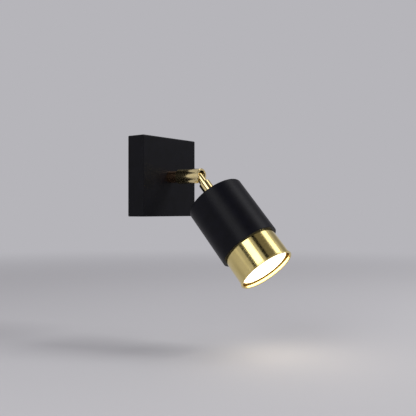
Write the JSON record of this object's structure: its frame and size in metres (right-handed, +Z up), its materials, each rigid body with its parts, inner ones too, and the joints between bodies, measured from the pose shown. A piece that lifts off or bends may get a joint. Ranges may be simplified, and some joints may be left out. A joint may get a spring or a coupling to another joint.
{
  "type": "pivoting spotlight wall light",
  "caption": "Wall spotlight: a square black box, a short brass arm that swivels, and a black cylinder with a brass front sleeve that tilts on a slotted knuckle.",
  "frame": {"origin": "centre of the mounting plate's two wall-screw slots, on the wall plane at the back of the square box", "axes": "+Z up, +X to the right along the wall, +Y into the wall, so the lamp points to -Y"},
  "size_m": [0.08, 0.1559, 0.1463],
  "materials": {
    "black_cover": "fine satin black powder coat",
    "black_housing": "satin black powder coat over aluminium",
    "polished_brass": "polished plated brass",
    "collar_brass": "polished plated brass",
    "stem_brass": "polished plated brass",
    "brushed_brass": "satin plated brass",
    "spring_steel": "bright spring steel",
    "zinc_steel": "zinc-plated pressed steel",
    "zinc_screw": "zinc-plated machine screw",
    "black_screw": "black oxide screw",
    "tinned_tag": "tinned tag",
    "white_nylon": "moulded nylon",
    "clamp_brass": "plain brass clamp",
    "brown_lead": "silicone-insulated lead",
    "blue_lead": "silicone-insulated lead",
    "green_lead": "green and yellow silicone-insulated lead",
    "glass_sleeve": "woven glass-fibre sleeve",
    "cream_ceramic": "unglazed steatite ceramic",
    "white_cap": "moulded white cap",
    "nickel_pin": "nickel-plated contact pin",
    "white_reflector": "moulded white lamp body",
    "lit_lens": "frosted lens, lit warm white"
  },
  "bodies": {
    "wall_base": {"canopy_cover": "black_cover", "wall_plate": "zinc_steel", "cover_screws": "black_screw", "terminal_block": "white_nylon", "terminal_inserts": "clamp_brass", "terminal_screws": "zinc_screw", "block_screw": "zinc_screw", "earth_screw": "zinc_screw", "earth_tag": "tinned_tag", "swivel_collar": "collar_brass", "collar_washer": "spring_steel", "collar_nut": "zinc_screw", "swivel_stop_pin": "spring_steel", "swivel_nut": "zinc_screw", "live_lead": "brown_lead", "neutral_lead": "blue_lead", "earth_lead": "green_lead"},
    "arm": {"arm_tube": "polished_brass", "swivel_washer": "spring_steel", "hinge_pins": "polished_brass", "hinge_washers": "spring_steel", "flex_sleeve": "glass_sleeve"},
    "head": {"knuckle_stem": "stem_brass", "head_housing": "black_housing", "front_sleeve": "brushed_brass", "holder_bracket": "zinc_steel", "head_earth_ring": "tinned_tag", "stem_washer": "spring_steel", "stem_nut": "zinc_screw", "lamp_holder": "cream_ceramic", "holder_screws": "zinc_screw", "lamp_cap": "white_cap", "lamp_pins": "nickel_pin", "lamp_body": "white_reflector", "lamp_lens": "lit_lens", "head_live_lead": "brown_lead", "head_neutral_lead": "blue_lead"}
  },
  "joints": [
    {"name": "arm_swivel", "type": "hinge", "parent": "wall_base", "child": "arm", "pos_m": [0, -0.0323, 0], "axis": [0, 1, 0], "range_deg": [-160, 160]},
    {"name": "head_tilt", "type": "hinge", "parent": "arm", "child": "head", "pos_m": [0, -0.0575, 0], "axis": [1, 0, 0], "range_deg": [-48.5, 41.5]}
  ]
}
